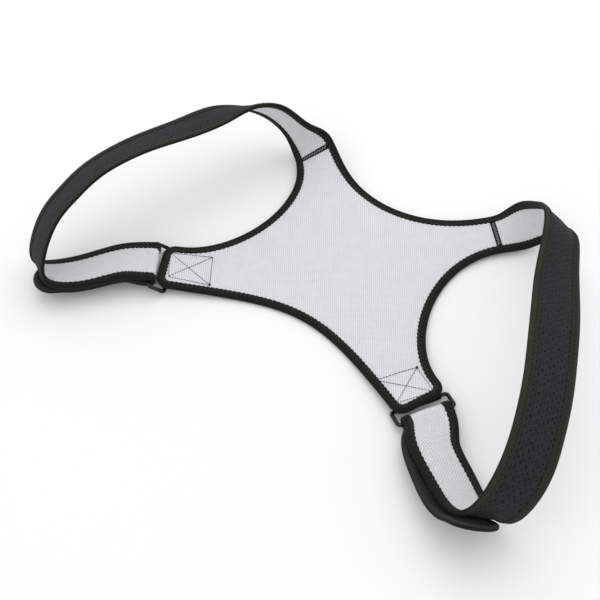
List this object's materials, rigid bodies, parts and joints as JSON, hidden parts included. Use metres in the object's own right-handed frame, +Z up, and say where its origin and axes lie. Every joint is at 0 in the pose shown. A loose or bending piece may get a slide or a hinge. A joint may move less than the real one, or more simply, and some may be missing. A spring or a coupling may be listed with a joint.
{
  "type": "posture corrector",
  "caption": "Soft upper-back brace: an X-shaped padded back panel with edge binding and shoulder straps that loop under the arms to rings on its lower ends.",
  "frame": {"origin": "middle of the back panel's outer face, which lies on the table", "axes": "+X towards the right strap, +Y towards the neck, +Z up, out of the panel's lining"},
  "size_m": [0.5735, 0.3691, 0.1018],
  "materials": {
    "lining": "fine light grey mesh",
    "strap_cloth": "brushed charcoal cloth with small perforations, light grey mesh on its inner side",
    "binding": "matt near-black tape with zigzag stitching",
    "seam_thread": "dense overlock thread",
    "ring_plastic": "glossy black",
    "webbing": "matt black webbing"
  },
  "bodies": {
    "root": {"back_panel": "lining", "neck_binding": "binding", "lower_binding": "binding", "shoulder_strap_left": "strap_cloth", "strap_binding_left": "binding", "seam_band_left": "seam_thread", "ring_left": "ring_plastic", "ring_keeper_left": "webbing", "shoulder_strap_right": "strap_cloth", "strap_binding_right": "binding", "seam_band_right": "seam_thread", "ring_right": "ring_plastic", "ring_keeper_right": "webbing"}
  },
  "joints": []
}
